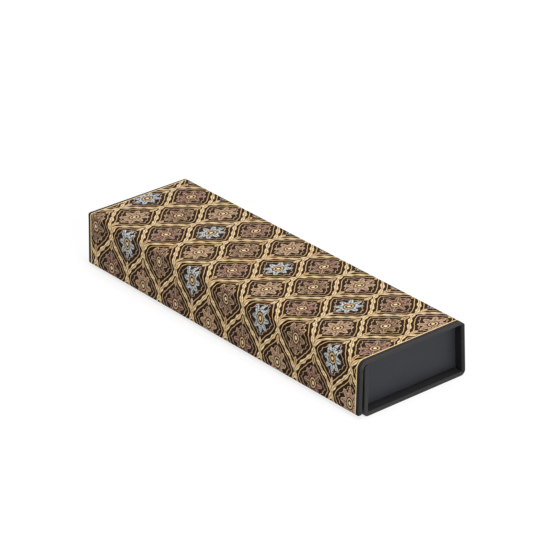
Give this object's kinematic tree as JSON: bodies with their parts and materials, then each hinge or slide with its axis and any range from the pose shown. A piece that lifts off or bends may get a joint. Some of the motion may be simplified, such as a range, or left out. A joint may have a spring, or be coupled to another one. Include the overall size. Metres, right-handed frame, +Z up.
{
  "type": "hard pencil case",
  "caption": "Long, low hinged box of paper-covered board: a tray glued into a wrap whose lid ends in a flap that folds down over the front and is held by magnets.",
  "frame": {"origin": "on the table, under the middle of the shut case", "axes": "+X along the case to the end that faces the picture's viewer, +Y from the flap to the spine, +Z up"},
  "size_m": [0.216, 0.0704, 0.031],
  "materials": {
    "greyboard": "bare grey chipboard, hidden under paper",
    "printed_paper": "matt laminated paper printed with a gold lattice on black, brown and plum, black at the margins",
    "black_paper": "matt black laminated paper",
    "lining_paper": "plain dark uncoated lining paper",
    "black_cloth": "thin black hinge cloth",
    "disc_metal": "nickel-plated"
  },
  "bodies": {
    "case": {"base_board": "greyboard", "spine_board": "greyboard", "front_wall_board": "greyboard", "tray_floor_board": "greyboard", "tray_front_board": "greyboard", "tray_back_board": "greyboard", "tray_end_board_near": "greyboard", "tray_end_board_far": "greyboard", "base_cover_paper": "black_paper", "spine_cover_paper": "printed_paper", "front_wall_cover_paper": "black_paper", "end_paper_near": "black_paper", "end_paper_far": "black_paper", "front_lining": "lining_paper", "back_lining": "lining_paper", "floor_lining": "lining_paper", "keeper_disc_near": "disc_metal", "keeper_disc_far": "disc_metal", "lid_hinge_paper": "printed_paper", "lid_hinge_cloth": "black_cloth"},
    "lid": {"lid_board": "greyboard", "lid_cover_paper": "printed_paper", "lid_lining": "lining_paper", "flap_fold_paper": "printed_paper", "flap_fold_board": "greyboard", "flap_fold_cloth": "black_cloth"},
    "flap": {"flap_board": "greyboard", "flap_cover_paper": "printed_paper", "flap_lining": "lining_paper", "flap_magnet_near": "disc_metal", "flap_magnet_far": "disc_metal"}
  },
  "joints": [
    {"name": "lid_hinge", "type": "hinge", "parent": "case", "child": "lid", "pos_m": [0, 0.0324, 0.02995], "axis": [-1, 0, 0], "range_deg": [0, 175], "deforming": ["lid_hinge_paper", "lid_hinge_cloth"]},
    {"name": "flap_hinge", "type": "hinge", "parent": "lid", "child": "flap", "pos_m": [0, -0.03241, 0.02887], "axis": [-1, 0, 0], "range_deg": [0, 90], "deforming": ["flap_fold_paper", "flap_fold_board", "flap_fold_cloth"]}
  ]
}
